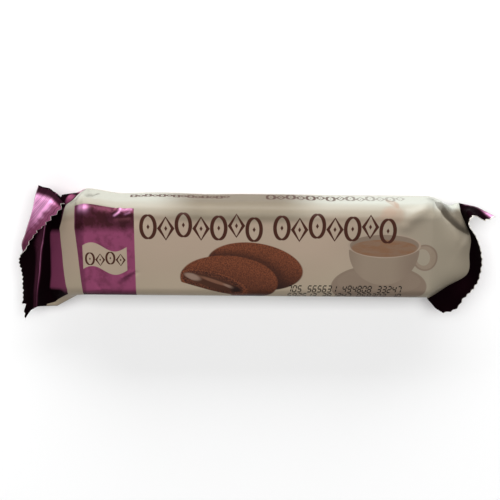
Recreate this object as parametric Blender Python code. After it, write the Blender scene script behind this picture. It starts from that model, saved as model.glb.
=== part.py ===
"""Flow-wrapped biscuit pack, lying on its back with the printed face up.

One closed film wrapper round a row of biscuits: a rounded box, two ends that
slope down to flat crimped seals with toothed cut edges, and a lap seam along
the back. The left seal's upper half is folded over towards the face, the right
seal stands up along the end, and its upper corner sticks out sideways.
+X runs along the pack, +Y across the face, +Z out of the face. A place is
first worked out from the middle of the biscuits, and MIDDLE_OF_ALL then puts
the origin under the middle of the whole wrapper.
"""

import math

import bmesh
import bpy
import numpy as np

MM = 0.001

# The stretch that the biscuits fill
BOX_LENGTH = 164.0 * MM
FACE_HEIGHT = 48.0 * MM
THICKNESS = 22.0 * MM
EDGE_RADIUS = 6.0 * MM
BISCUITS = 4
BISCUIT_SWELL = 0.5 * MM
BACK_HOLLOW = 0.9 * MM

# The crimped seals
SEAL_THICKNESS = 0.6 * MM
TOOTH_DEPTH = 1.1 * MM
TOOTH_REACH = 4.5 * MM
TEETH = 15
FOLD_SOFTNESS = 0.3
FOLD_END = 0.06
FOLD_END_WIDTH = 0.12

# The seam that runs along the back
LAP_WIDTH = 12.0 * MM
LAP_THICKNESS = 0.5 * MM
LAP_OFFSET = 4.0 * MM

# The valley pressed into the face beside the right seal: two ends, half width and depth
VALLEY = ((92.0, 21.0), (101.0, 7.0))
VALLEY_HALF_WIDTH = 5.0 * MM
VALLEY_DEPTH = 2.2 * MM

# The notch where that valley meets the upper side
NOTCH_PLACE = 93.0 * MM
NOTCH_HALF_WIDTH = 6.0 * MM
NOTCH_DEPTH = 3.0 * MM

# How far the biscuit's edge lifts the film at the upper left corner, and over which stretch
CORNER_LIFT = 2.4 * MM
CORNER_STRETCH = 18.0 * MM

# Places on the seals in millimetres. Each line of film runs through one place of every row,
# from the root, where both layers meet, to the cut edge. ACROSS is -1 at the seal's lower
# end and 1 at its upper end.
LEFT_ACROSS = (-1, -0.7, -0.35, 0, 0.1, 0.35, 0.7, 0.9, 1)
LEFT_ROWS = {
    "root": (
        (-99, -33.5, 10), (-102, -26, 10.5), (-101, -15, 11), (-100.5, -2.5, 11), (-100.5, 0.5, 11),
        (-100, 7, 11), (-97.5, 16, 12), (-95, 22, 12.5), (-94, 24.5, 12),
    ),
    "ridge": (
        (-108.5, -33.5, 11), (-107.5, -24.5, 14), (-106, -13.5, 14), (-105, -1.5, 13.5), (-104.5, 1, 13),
        (-103.5, 8, 12.5), (-100.5, 18, 12.5), (-98.5, 24.5, 12), (-96.5, 26.5, 11),
    ),
    "fold": (
        (-112, -35.5, 11), (-111.5, -27, 12.5), (-110.5, -15, 13), (-111.5, -4, 12), (-114, -2, 11.5),
        (-112, 6, 11.5), (-108, 17.5, 11), (-106, 25.5, 11), (-104.5, 30, 11),
    ),
    "fold_back": (
        (-113.5, -37.5, 11), (-113.5, -28.5, 12), (-112.5, -16, 12.5), (-113.3, -4.5, 12.4), (-113.8, -2, 13),
        (-111, 7, 14.2), (-107, 19, 15.5), (-104.5, 27, 16), (-103.5, 30.5, 14),
    ),
    "flap": (
        (-115, -40, 11), (-114.7, -29.5, 11.5), (-114, -16.5, 12), (-114.4, -5, 12.8), (-113, -2.2, 13.6),
        (-109, 5.5, 15), (-102.5, 16, 17.5), (-98, 25.5, 18), (-98, 29.5, 14.5),
    ),
    "cut": (
        (-115.5, -42, 11), (-115.7, -30, 11), (-115.3, -17, 11.5), (-115.2, -5.5, 13), (-112.5, -2.5, 14.4),
        (-106.5, 6.5, 16), (-98, 15, 18.5), (-92.5, 21, 19.5), (-91, 23.5, 19),
    ),
}
RIGHT_ACROSS = (-1, -0.86, -0.72, -0.42, -0.05, 0.2, 0.42, 0.65, 0.85, 1)
RIGHT_ROWS = {
    "root": (
        (84.5, -28.5, 9), (88.7, -24.7, 10.5), (93, -20.5, 12), (102.5, -13.5, 13), (103, -2, 13),
        (103, 6, 13), (100, 13, 13), (97.5, 18, 11.5), (97, 20.3, 10), (96.5, 22, 9),
    ),
    "middle": (
        (88.5, -32.4, 12), (93.2, -29.2, 13.5), (97.5, -24, 15), (105, -15, 16), (105.5, -1.5, 16),
        (104.5, 7, 16), (100.5, 13.5, 16), (99.5, 20, 16), (102.3, 20.7, 13.5), (104.5, 21, 11),
    ),
    "cut": (
        (92.2, -33.8, 14.5), (97.6, -31.3, 16), (100.7, -25, 18), (106.5, -16, 19), (107.5, -1, 20),
        (104, 8.5, 20), (99.8, 15.2, 20), (103.3, 18.3, 17.5), (108.7, 15.6, 16.5), (113.4, 17.3, 15),
    ),
}

MIDDLE_OF_ALL = (-1.37 * MM, -5.81 * MM)

SLOPE_STATIONS = 9
BOX_STATIONS = 12
STATIONS_A_ROW = 3
POINTS_A_TOOTH = 4

MIDDLE = THICKNESS / 2
FACE_FLAT = FACE_HEIGHT - 2 * EDGE_RADIUS
SIDE_FLAT = THICKNESS - 2 * EDGE_RADIUS
HALF_ROUND = FACE_FLAT + math.pi * EDGE_RADIUS + SIDE_FLAT
QUARTER = HALF_ROUND / 2


def ease(value, start, end):
    """0 before start, 1 after end, and a smooth rise between."""
    t = np.clip((value - start) / (end - start), 0, 1)
    return t * t * (3 - 2 * t)


def unit(vectors):
    return vectors / np.linalg.norm(vectors, axis=-1, keepdims=True)


def smooth_line(knots, places, where):
    """A smooth line through the places, one for each knot, read at where."""
    knots, places = np.array(knots, float), np.array(places) * MM
    slopes = np.gradient(places, knots, axis=0)
    i = np.clip(np.searchsorted(knots, where, side="right") - 1, 0, len(knots) - 2)
    width = (knots[i + 1] - knots[i])[:, None]
    t = (where - knots[i])[:, None] / width
    return (
        places[i] * (1 + 2 * t) * (1 - t) ** 2
        + slopes[i] * width * t * (1 - t) ** 2
        + places[i + 1] * t * t * (3 - 2 * t)
        + slopes[i + 1] * width * t * t * (t - 1)
    )


def across_of(around):
    """-1 to 1 along the seal, the same for both layers. around is the way along the film from the face's middle."""
    way = np.abs(around)
    return np.sign(around) * np.where(way <= QUARTER, way, HALF_ROUND - way) / QUARTER


def seal_middle(left, row, across):
    """Middle of the two layers. row counts the rows passed since the root, and corners between rows are rounded."""
    knots, rows = (LEFT_ACROSS, LEFT_ROWS) if left else (RIGHT_ACROSS, RIGHT_ROWS)
    lines = [smooth_line(knots, places, across) for places in rows.values()]
    last = len(lines) - 1
    near = round(row)
    if 0 < near < last and abs(row - near) < FOLD_SOFTNESS:
        t = (row - near + FOLD_SOFTNESS) / (2 * FOLD_SOFTNESS)
        before = lines[near] + (lines[near - 1] - lines[near]) * FOLD_SOFTNESS
        after = lines[near] + (lines[near + 1] - lines[near]) * FOLD_SOFTNESS
        place = (1 - t) ** 2 * before + 2 * t * (1 - t) * lines[near] + t * t * after
    else:
        i = min(int(row), last - 1)
        place = lines[i] + (lines[i + 1] - lines[i]) * (row - i)
    inner = lines[-2]
    if left:
        inner = lines[1] + (lines[-2] - lines[1]) * ease(across, -0.05, 0.2)[:, None]
    closeness = 1 - np.linalg.norm(place - lines[-1], axis=1) / TOOTH_REACH
    bite = TOOTH_DEPTH * toothed(across) * ease(closeness, 0, 1) * ease(row, last - 2, last - 1)
    if left:
        bite *= np.clip(np.abs(across - FOLD_END) / FOLD_END_WIDTH, 0, 1)
    return place + unit(inner - lines[-1]) * bite[:, None]


def toothed(across):
    """0 to 1 along the cut edge, one rise and fall for each tooth."""
    turn = (across + 1) / 2 * TEETH
    return 1 - np.abs((turn % 1) * 2 - 1)


def seal(left, row, around):
    """Points of the seal's skin: the middle, moved half the thickness to the face's side or the back's."""
    step = 1e-3
    across = across_of(around)
    rows = len(LEFT_ROWS if left else RIGHT_ROWS) - 1
    place = seal_middle(left, row, across)
    low, high = np.clip(across - step, -1, 1), np.clip(across + step, -1, 1)
    along_seal = seal_middle(left, row, high) - seal_middle(left, row, low)
    outward = seal_middle(left, min(row + step, rows), across) - seal_middle(left, max(row - step, 0), across)
    normal = unit(np.cross(along_seal, outward) if left else np.cross(outward, along_seal))
    front = np.where(np.abs(around) <= QUARTER, 1, -1)
    gap = SEAL_THICKNESS / 2 * np.clip((1 - np.abs(across)) * 12, 0, 1)
    return place + normal * (front * gap)[:, None]


def box(x, around):
    """Points of the rounded box's section at x, with the swell of the biscuits and the back's hollow and lap seam."""
    side = np.sign(around)
    way = np.abs(around)
    front = way <= QUARTER
    way = np.where(front, way, HALF_ROUND - way)
    corner = np.clip((way - FACE_FLAT / 2) / EDGE_RADIUS, 0, math.pi / 2)
    past = np.clip(way - FACE_FLAT / 2 - EDGE_RADIUS * math.pi / 2, 0, None)
    y = side * (np.minimum(way, FACE_FLAT / 2) + EDGE_RADIUS * np.sin(corner))
    z = MIDDLE - EDGE_RADIUS * (1 - np.cos(corner)) - past
    turn = x / BOX_LENGTH * BISCUITS * 2 * math.pi
    swell = BISCUIT_SWELL * (0.5 - 0.5 * math.cos(turn)) * np.cos(y / FACE_HEIGHT * math.pi)
    inside = 1 - ease(np.abs(y), 0.2 * FACE_HEIGHT, 0.36 * FACE_HEIGHT)
    lap = LAP_THICKNESS * (1 - ease(np.abs(y - LAP_OFFSET), 0.44 * LAP_WIDTH, 0.5 * LAP_WIDTH))
    z = np.where(front, MIDDLE + z + swell * z / MIDDLE, MIDDLE - z + (BACK_HOLLOW * inside - lap) * z / MIDDLE)
    return lift_corner(np.stack([np.full_like(y, x), y, z], axis=1))


def lift_corner(place):
    """Pushes the upper side out at the left end of the box."""
    x, y = place[:, 0], place[:, 1]
    nearness = 1 - ease(x, -BOX_LENGTH / 2, CORNER_STRETCH - BOX_LENGTH / 2)
    place[:, 1] += CORNER_LIFT * nearness * ease(y, 0.3 * FACE_HEIGHT, 0.5 * FACE_HEIGHT)
    return place


def slope(left, share, around):
    """Points between the box's end and the seal's root. share is 0 at the box and 1 at the root."""
    start = box(-BOX_LENGTH / 2 if left else BOX_LENGTH / 2, around)
    end = seal(left, 0, around)
    place = start + (end - start) * share
    place[:, 2] = start[:, 2] + (end[:, 2] - start[:, 2]) * (0.5 * share + 0.5 * ease(share, 0, 1))
    return place if left else press_valley(place, around, 1 - ease(share, 0.5, 1))


def press_valley(place, around, amount):
    """Pushes the face in along the line between the valley's two ends, and the upper side where it begins."""
    start, end = (np.array(point) * MM for point in VALLEY)
    run = end - start
    t = np.clip((place[:, :2] - start) @ run / (run @ run), 0, 1)
    away = np.linalg.norm(place[:, :2] - start - t[:, None] * run, axis=1)
    depth = VALLEY_DEPTH * amount * np.clip(1 - away / VALLEY_HALF_WIDTH, 0, 1) * (np.abs(around) <= QUARTER)
    place[:, 2] -= depth * ease(place[:, 2], MIDDLE, MIDDLE + 2 * VALLEY_DEPTH)
    notch = NOTCH_DEPTH * amount * np.clip(1 - np.abs(place[:, 0] - NOTCH_PLACE) / NOTCH_HALF_WIDTH, 0, 1)
    place[:, 1] -= notch * ease(place[:, 1], 0.3 * FACE_HEIGHT, 0.45 * FACE_HEIGHT)
    return place


def skin_loops():
    """The loops of points round the film, from the left cut edge to the right one."""
    count = TEETH * POINTS_A_TOOTH * 2
    around = np.arange(count) / count * 2 * HALF_ROUND - QUARTER
    around = np.where(around > HALF_ROUND, around - 2 * HALF_ROUND, around)
    shares = np.linspace(0, 1, SLOPE_STATIONS + 1)
    inner = np.linspace(-BOX_LENGTH / 2, BOX_LENGTH / 2, BOX_STATIONS + 1)[1:-1]

    def rows(left):
        last = len(LEFT_ROWS if left else RIGHT_ROWS) - 1
        return np.linspace(0, last, last * STATIONS_A_ROW + 1)[1:]

    loops = [seal(True, row, around) for row in rows(True)[::-1]]
    loops += [slope(True, share, around) for share in shares[::-1]]
    loops += [box(x, around) for x in inner]
    loops += [slope(False, share, around) for share in shares]
    loops += [seal(False, row, around) for row in rows(False)]
    return loops


def wrapper_mesh():
    """The closed skin: each loop joined to the next, and the two layers joined along both cut edges."""
    shape = bmesh.new()
    shift = np.array([*MIDDLE_OF_ALL, 0])
    loops = [[shape.verts.new(point) for point in loop - shift] for loop in skin_loops()]
    count = len(loops[0])
    for first, second in zip(loops, loops[1:]):
        for i in range(count):
            j = (i + 1) % count
            shape.faces.new((first[i], first[j], second[j], second[i]))
    for loop in (loops[0], loops[-1]):
        for i in range(count // 2):
            corners = [loop[i], loop[i + 1], loop[(-i - 1) % count], loop[-i % count]]
            shape.faces.new(dict.fromkeys(corners))
    bmesh.ops.recalc_face_normals(shape, faces=shape.faces)
    bmesh.ops.triangulate(shape, faces=shape.faces)
    mesh = bpy.data.meshes.new("wrapper")
    shape.to_mesh(mesh)
    shape.free()
    mesh.shade_smooth()
    return mesh


def film_material():
    material = bpy.data.materials.new("printed_film")
    material.use_nodes = True
    shader = material.node_tree.nodes["Principled BSDF"]
    shader.inputs["Base Color"].default_value = (0.60, 0.53, 0.42, 1)
    shader.inputs["Roughness"].default_value = 0.38
    shader.inputs["Metallic"].default_value = 0.0
    return material


def main():
    for found in list(bpy.data.objects):
        bpy.data.objects.remove(found)
    mesh = wrapper_mesh()
    mesh.materials.append(film_material())
    wrapper = bpy.data.objects.new("wrapper", mesh)
    bpy.context.collection.objects.link(wrapper)


main()
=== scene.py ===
"""Looks of the flow-wrapped biscuit pack: the printed film with its folds, crimped seals and lap seam."""
import math

import bpy
import numpy as np
from mathutils import Matrix, Vector


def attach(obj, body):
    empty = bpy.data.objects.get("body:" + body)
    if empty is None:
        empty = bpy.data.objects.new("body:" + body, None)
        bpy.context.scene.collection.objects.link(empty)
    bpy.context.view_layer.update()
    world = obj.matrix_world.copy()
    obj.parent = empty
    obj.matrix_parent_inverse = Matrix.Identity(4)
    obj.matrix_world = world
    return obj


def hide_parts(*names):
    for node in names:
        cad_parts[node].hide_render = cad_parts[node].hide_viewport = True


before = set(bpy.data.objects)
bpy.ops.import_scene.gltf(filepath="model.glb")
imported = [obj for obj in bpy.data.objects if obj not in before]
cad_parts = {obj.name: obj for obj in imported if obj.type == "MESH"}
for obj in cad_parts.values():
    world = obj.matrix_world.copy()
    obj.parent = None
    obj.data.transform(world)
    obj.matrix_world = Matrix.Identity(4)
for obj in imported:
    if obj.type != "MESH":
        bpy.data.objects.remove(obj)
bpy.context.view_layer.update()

MM = 0.001

# The stretch that the biscuits fill
BOX_LENGTH = 164.0 * MM
FACE_HEIGHT = 48.0 * MM
THICKNESS = 22.0 * MM
EDGE_RADIUS = 6.0 * MM
BISCUITS = 4
BISCUIT_SWELL = 0.5 * MM

# The back's hollow, and where it rises to the sides
BACK_HOLLOW = 0.9 * MM
HOLLOW_SIDES = (0.2 * FACE_HEIGHT, 0.36 * FACE_HEIGHT)

# The crimped seals, whose layers part over a twelfth of the way in from each side
SEAL_THICKNESS = 0.3 * MM
SEAL_PARTING = 12
RIB_PITCH = 0.8 * MM

# Teeth counted at a seal's lower end, middle and upper end, and their depths in millimetres. The left ones
# are deeper on the flap, which begins between these places across the seal
LEFT_TEETH = (0, 15, 25)
LEFT_TOOTH_DEPTHS = (0.9, 1.7)
FLAP_START = (0.1, 0.25)
RIGHT_TEETH = (0, 12, 24)
RIGHT_TOOTH_DEPTH = 1.0
TOOTH_UNEVENNESS = 0.25
TOOTH_REACH = 4.5 * MM

# How softly a seal folds at its rows, and where the left seal's fold ends and the teeth fade
FOLD_SOFTNESS = 0.2
FOLD_END = 0.06
FOLD_END_WIDTH = 0.12

# The silver rim of bare film, solid up to the first distance from a cut edge and gone at the second. It is
# wider on the hook at the right seal's upper end
BARE_EDGE = (0.22 * MM, 0.4 * MM)
HOOK_RIM = 0.5
HOOK_START = 0.5

# The seam that runs along the back
LAP_WIDTH = 12.0 * MM
LAP_THICKNESS = 0.5 * MM
LAP_OFFSET = 4.0 * MM
LAP_EDGE = 0.5 * MM

# Plain ruled lines printed on the back
RULE_PITCH = 2.5 * MM

# The valley pressed into the face beside the right seal, and the notch where it meets the upper side
VALLEY = ((92, 21), (101, 7))
VALLEY_HALF_WIDTH = 5.0 * MM
VALLEY_DEPTH = 2.2 * MM
NOTCH_PLACE = 93.0 * MM
NOTCH_HALF_WIDTH = 6.0 * MM
NOTCH_DEPTH = 3.0 * MM
NOTCH_SIDE = (0.3 * FACE_HEIGHT, 0.45 * FACE_HEIGHT)

# How softly the slopes bend away from the box
BEND = 0.1

# How far the biscuit's edge lifts the film at the upper left corner, and over which stretch
CORNER_LIFT = 2.4 * MM
CORNER_STRETCH = 18.0 * MM
CORNER_SIDE = (0.3 * FACE_HEIGHT, 0.5 * FACE_HEIGHT)

# Places on the seals in millimetres, from the root to the cut edge. ACROSS is -1 at the seal's
# lower end and 1 at its upper end.
LEFT_ACROSS = (-1, -0.7, -0.35, 0, 0.1, 0.35, 0.7, 0.9, 1)
LEFT_ROWS = {
    "root": (
        (-99, -33.5, 10), (-102, -26, 10.5), (-101, -15, 11), (-100.5, -2.5, 11), (-100.5, 0.5, 11),
        (-100, 7, 11), (-97.5, 16, 12), (-95, 22, 12.5), (-94, 24.5, 12),
    ),
    "ridge": (
        (-108.5, -33.5, 11), (-107.5, -24.5, 14), (-106, -13.5, 14), (-105, -1.5, 13.5), (-104.5, 1, 13),
        (-103.5, 8, 12.5), (-100.5, 18, 12.5), (-98.5, 24.5, 12), (-96.5, 26.5, 11),
    ),
    "fold": (
        (-112, -35.5, 11), (-111.5, -27, 12.5), (-110.5, -15, 13), (-111.5, -4, 12), (-114, -2, 11.5),
        (-112, 6, 11.5), (-108, 17.5, 11), (-106, 25.5, 11), (-104.5, 30, 11),
    ),
    "fold_back": (
        (-113.5, -37.5, 11), (-113.5, -28.5, 12), (-112.5, -16, 12.5), (-113.3, -4.5, 12.4), (-113.8, -2, 13),
        (-111, 7, 14.2), (-107, 19, 15.5), (-104.5, 27, 16), (-103.5, 30.5, 14),
    ),
    "flap": (
        (-115, -40, 11), (-114.7, -29.5, 11.5), (-114, -16.5, 12), (-114.4, -5, 12.8), (-113, -2.2, 13.6),
        (-109, 5.5, 15), (-102.5, 16, 17.5), (-98, 25.5, 18), (-98, 29.5, 14.5),
    ),
    "cut": (
        (-115.5, -42, 11), (-115.7, -30, 11), (-115.3, -17, 11.5), (-115.2, -5.5, 13), (-112.5, -2.5, 14.4),
        (-106.5, 6.5, 16), (-98, 15, 18.5), (-92.5, 21, 19.5), (-91, 23.5, 19),
    ),
}
RIGHT_ACROSS = (-1, -0.86, -0.72, -0.42, -0.05, 0.2, 0.42, 0.65, 0.85, 1)
RIGHT_ROWS = {
    "root": (
        (84.5, -28.5, 9), (88.7, -24.7, 10.5), (93, -20.5, 12), (102.5, -13.5, 13), (103, -2, 13),
        (103, 6, 13), (100, 13, 13), (97.5, 18, 11.5), (97, 20.3, 10), (96.5, 22, 9),
    ),
    "middle": (
        (88.5, -32.4, 12), (93.2, -29.2, 13.5), (97.5, -24, 15), (105, -15, 16), (105.5, -1.5, 16),
        (104.5, 7, 16), (100.5, 13.5, 16), (99.5, 20, 16), (102.3, 20.7, 13.5), (104.5, 21, 11),
    ),
    "cut": (
        (92.2, -33.8, 14.5), (97.6, -31.3, 16), (100.7, -25, 18), (106.5, -16, 19), (107.5, -1, 20),
        (104, 8.5, 20), (99.8, 15.2, 20), (103.3, 18.3, 17.5), (108.7, 15.6, 16.5), (113.4, 17.3, 15),
    ),
}
MIDDLE_OF_ALL = (-1.37 * MM, -5.81 * MM)

# The tear near the left seal's lower end: places across the seal, and millimetres cut in
TEAR = ((-0.84, -0.79, -0.745, -0.68), (0, 2, -1.1, 0))

# How finely the film is divided
COLUMNS = 240
LEFT_SEAL_STEPS = 96
LEFT_SLOPE_STEPS = 76
LABEL_STEPS = 42
BOX_STEPS = 84
RIGHT_SLOPE_STEPS = 72
RIGHT_SEAL_STEPS = 42

MIDDLE = THICKNESS / 2
FACE_FLAT = FACE_HEIGHT - 2 * EDGE_RADIUS
SIDE_FLAT = THICKNESS - 2 * EDGE_RADIUS
HALF_ROUND = FACE_FLAT + math.pi * EDGE_RADIUS + SIDE_FLAT
QUARTER = HALF_ROUND / 2
BOX_END = BOX_LENGTH / 2

# How much print a slope carries, and its share on each of a seal's rows
SLOPE_PRINT = 20.0 * MM
ROW_SHARE = 0.3

# Where the purple ends start on the print, and the left one on its slope: places around the film in
# millimetres, and shares of the slope
STRIPE_SHARE = 0.71
STRIPE_START = -(BOX_END + STRIPE_SHARE * SLOPE_PRINT)
STRIPE_EDGE = (
    (-64, 0.7), (-44, 0.95), (-34, 1.2), (-30.8, 1.15), (-29, 0.95), (-26.9, 0.75), (-23.7, 0.53),
    (-20, 0.53), (-17, 0.57), (-12, 0.62), (-7, 0.65), (2, 0.68), (9, 0.7), (12.5, 0.73), (19, 0.67),
    (24, 0.65), (25.3, 0.62), (25.8, 0.5), (26.6, 0.38), (27.9, 0.32), (30.2, 0.25), (33.4, 0.2),
    (37, 0.06), (40, 0.06), (46, 0.6), (64, 0.7),
)
RIGHT_START = BOX_END + SLOPE_PRINT * 0.985

# The purple label's sides, the left one leaning. The lower and upper one are in millimetres
LABEL_START = -86.6 * MM
LABEL_LEAN = 0.075
LABEL_END = -58.4 * MM
LABEL_SIDES = (-27, 22.5)

# Soft folds and creases of the film: places along and around it, half width and rise, all in millimetres
CREASES = (
    (((84, 31), (80.5, 25), (70, 15)), 2.8, 0.9),
    (((-80, 36), (-77.5, 27)), 1.3, -0.6),
    (((-86.4, 23.7), (-83.4, 30.3), (-81.5, 35)), 1.2, 0.6),
    (((-81, 27.7), (-77.5, 32.1)), 1.2, -0.7),
    (((-68.5, 20.2), (-65, 22.6)), 0.6, 0.45),
    (((-65, 22.6), (-63, 20), (-60, 22.6)), 0.6, 0.4),
    (((-67, 17.5), (-60.5, 18.3)), 1.2, -0.4),
    (((-66.5, -16), (-58.5, -10)), 0.9, -0.4),
    (((-65, -12.8), (-59.5, -9.5)), 0.8, 0.3),
    (((-84, -21), (-72, -18.5)), 1, 0.22),
    (((-78, -15), (-74, -20.5)), 0.8, -0.2),
    (((-86, 19), (-78, 21.5)), 1.6, 0.25),
    (((-84, 15), (-80, 6)), 1.8, -0.12),
)

# The folded-over crease beside the right seal. The film beyond it, toward the seal, stands higher. Its ends
# fade over a share of its run
FOLD = (
    (84, 29.7), (86, 25.3), (89.2, 21.9), (92, 18.6), (94.3, 14.4), (96.8, 11), (99, 9),
    (102, 7.2),
)
FOLD_RISE = 2.8 * MM
FOLD_FLANK = 1.2 * MM
FOLD_REACH = 5.0 * MM
FOLD_FADE = 0.12

# The unevenness of pulled film: the label's drawn-in upper part, the waves of the face, the swells of the
# upper side and how far its middle is lifted
CROWN_DEPTH = 0.5 * MM
WAVE_RISE = 0.035 * MM
SIDE_SWELL = 0.35 * MM
SIDE_LIFT = 0.5 * MM

# Painted shade where folds keep light off the cream, and painted light where they lift it to the light:
# places, half width in millimetres, strength
SHADES = (
    (((82.6, 34.5), (83.8, 30.5)), 1.6, 0.5),
    (((83, 28), (79.5, 22.5), (72, 17)), 1.8, 0.25),
    (((-91, 25.6), (-87.6, 25.9), (-85.4, 28), (-84.4, 32.4), (-82.6, 35.7)), 0.9, 0.4),
    (((-80.6, 28.6), (-78.2, 31.4)), 1.3, 0.45),
    (((-76.8, 32.3), (-76, 32.3)), 0.6, 0.8),
    (((71, 22), (77.5, 24)), 2.4, -0.25),
)

# Painted glints, and painted shade in the folds of the purple print, given in the same way
GLINTS = (
    (((-84.4, 21.3), (-81.6, 21)), 1.6, 0.55),
    (((-67.6, 18.7), (-65.6, 20.4), (-64.6, 22.4)), 0.5, 0.75),
    (((-64.4, 21.6), (-59.6, 22.1)), 0.6, 0.35),
    (((-62.5, 19.6), (-60.6, 20.4)), 0.5, 0.3),
    (((-89.5, 34.5), (-86, 35.5)), 0.8, 0.45),
)
DARK_FOLDS = (
    (((-104, 33), (-92, 33), (-88, 30.5)), 1.5, 0.9),
    (((-96, 24.8), (-91, 25.8), (-88.5, 28.5)), 0.8, 0.7),
    (((-66.5, -16.5), (-59, -10.8)), 0.7, 0.35),
    (((-70, 17), (-62, 15)), 2.2, 0.3),
)

# The rows over which each seal's dark sets in
LEFT_DARK = (-0.04, 0.03)
RIGHT_DARK = (-0.06, -0.03)

# The painted highlight streak along the left seal's ridge: its row and its brightness at places across the
# seal, and its half width in rows. A band of weaker painted light lies around it
STREAK_ROW = ((-1, -0.3, 0.3), (1.2, 1, 0.78))
STREAK_WIDTH = 0.045
STREAK_FADE = ((-1, -0.55, -0.2), (0.35, 0.55, 1))
BAND_BEFORE = 0.2
BAND_AFTER = (0.3, 0.6)

# The flap's painted highlight at places across the seal, and where the dark strip along its upper side begins
FLAP_GLOW = ((0.1, 0.3, 0.55, 0.75), (0, 0.06, 0.3, 1))
FLAP_STRIP = (0.88, 0.94)

# How dark the painted shade beside the fold is along its run
FOLD_SHADE = ((0, 0.3, 1), (0.6, 0.9, 0.85))


def ease(value, start, end):
    """0 before start, 1 after end, and a smooth rise between."""
    t = np.clip((value - start) / (end - start), 0, 1)
    return t * t * (3 - 2 * t)


def window(value, rise, fall):
    """0 before the rise and after the fall, and 1 between them. Both are start and end, in millimetres."""
    (rise_start, rise_end), (fall_start, fall_end) = rise, fall
    return ease(value, rise_start * MM, rise_end * MM) * (1 - ease(value, fall_start * MM, fall_end * MM))


def unit(vectors):
    return vectors / np.maximum(np.linalg.norm(vectors, axis=-1, keepdims=True), 1e-12)


def smooth_line(knots, places, where):
    """A smooth line through the places, one for each knot, read at where."""
    knots, places = np.array(knots, float), np.array(places) * MM
    slopes = np.gradient(places, knots, axis=0)
    i = np.clip(np.searchsorted(knots, where, side="right") - 1, 0, len(knots) - 2)
    width = (knots[i + 1] - knots[i])[:, None]
    t = (where - knots[i])[:, None] / width
    return (
        places[i] * (1 + 2 * t) * (1 - t) ** 2
        + slopes[i] * width * t * (1 - t) ** 2
        + places[i + 1] * t * t * (3 - 2 * t)
        + slopes[i + 1] * width * t * t * (t - 1)
    )


def across_of(around):
    """-1 to 1 along the seal, the same for both layers."""
    way = np.abs(around)
    return np.sign(around) * np.where(way <= QUARTER, way, HALF_ROUND - way) / QUARTER


def toothed(across, teeth):
    """0 at the teeth's tips and up to 1 in their gaps, with some gaps deeper than others."""
    turn = np.interp(across, (-1, 0, 1), teeth)
    uneven = 1 - TOOTH_UNEVENNESS * (1 - np.sin(np.floor(turn) * 2.4))
    return (1 - np.abs((turn % 1) * 2 - 1)) * uneven


def seal_middle(left, row, across, cut=True):
    """Middle of the seal's two layers. row counts the rows passed since the root. cut gives it its teeth and
    its tear."""
    knots, rows = (LEFT_ACROSS, LEFT_ROWS) if left else (RIGHT_ACROSS, RIGHT_ROWS)
    lines = [smooth_line(knots, places, across) for places in rows.values()]
    last = len(lines) - 1
    near = round(row)
    if 0 < near < last and abs(row - near) < FOLD_SOFTNESS:
        t = (row - near + FOLD_SOFTNESS) / (2 * FOLD_SOFTNESS)
        before = lines[near] + (lines[near - 1] - lines[near]) * FOLD_SOFTNESS
        after = lines[near] + (lines[near + 1] - lines[near]) * FOLD_SOFTNESS
        place = (1 - t) ** 2 * before + 2 * t * (1 - t) * lines[near] + t * t * after
    else:
        i = min(int(row), last - 1)
        place = lines[i] + (lines[i + 1] - lines[i]) * (row - i)
    inner = lines[-2]
    if left:
        inner = lines[1] + (lines[-2] - lines[1]) * ease(across, -0.05, 0.2)[:, None]
        depth = np.interp(across, FLAP_START, LEFT_TOOTH_DEPTHS)
        bite = (depth * toothed(across, LEFT_TEETH) + np.interp(across, *TEAR)) * MM
        bite *= np.clip(np.abs(across - FOLD_END) / FOLD_END_WIDTH, 0, 1)
    else:
        bite = RIGHT_TOOTH_DEPTH * toothed(across, RIGHT_TEETH) * MM
    closeness = 1 - np.linalg.norm(place - lines[-1], axis=1) / TOOTH_REACH
    bite *= cut * ease(closeness, 0, 1) * ease(row, last - 2, last - 1)
    return place + unit(inner - lines[-1]) * bite[:, None]


def seal(left, row, around, thickness=SEAL_THICKNESS):
    """Points of the seal's skin: the middle, moved half the thickness to the face's side or the back's."""
    step = 1e-3
    across = across_of(around)
    rows = len(LEFT_ROWS if left else RIGHT_ROWS) - 1
    place = seal_middle(left, row, across)
    low, high = np.clip(across - step, -1, 1), np.clip(across + step, -1, 1)
    along_seal = seal_middle(left, row, high) - seal_middle(left, row, low)
    outward = seal_middle(left, min(row + step, rows), across) - seal_middle(left, max(row - step, 0), across)
    normal = unit(np.cross(along_seal, outward) if left else np.cross(outward, along_seal))
    front = np.where(np.abs(around) <= QUARTER, 1, -1)
    gap = thickness / 2 * np.clip((1 - np.abs(across)) * SEAL_PARTING, 0, 1)
    return place + normal * (front * gap)[:, None]


def box(x, around):
    """Points of the rounded box's section at x, with the swell of the biscuits and the back's hollow."""
    side = np.sign(around)
    way = np.abs(around)
    front = way <= QUARTER
    way = np.where(front, way, HALF_ROUND - way)
    corner = np.clip((way - FACE_FLAT / 2) / EDGE_RADIUS, 0, math.pi / 2)
    past = np.clip(way - FACE_FLAT / 2 - EDGE_RADIUS * math.pi / 2, 0, None)
    y = side * (np.minimum(way, FACE_FLAT / 2) + EDGE_RADIUS * np.sin(corner))
    z = MIDDLE - EDGE_RADIUS * (1 - np.cos(corner)) - past
    turn = x / BOX_LENGTH * BISCUITS * 2 * math.pi
    swell = BISCUIT_SWELL * (0.5 - 0.5 * math.cos(turn)) * np.cos(y / FACE_HEIGHT * math.pi)
    back = BACK_HOLLOW * (1 - ease(np.abs(y), *HOLLOW_SIDES))
    z = np.where(front, MIDDLE + z + swell * z / MIDDLE, MIDDLE - z + back * z / MIDDLE)
    nearness = 1 - ease(x, -BOX_END, CORNER_STRETCH - BOX_END)
    y = y + CORNER_LIFT * nearness * ease(y, *CORNER_SIDE)
    return np.stack([np.full_like(y, x), y, z], axis=1)


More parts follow.
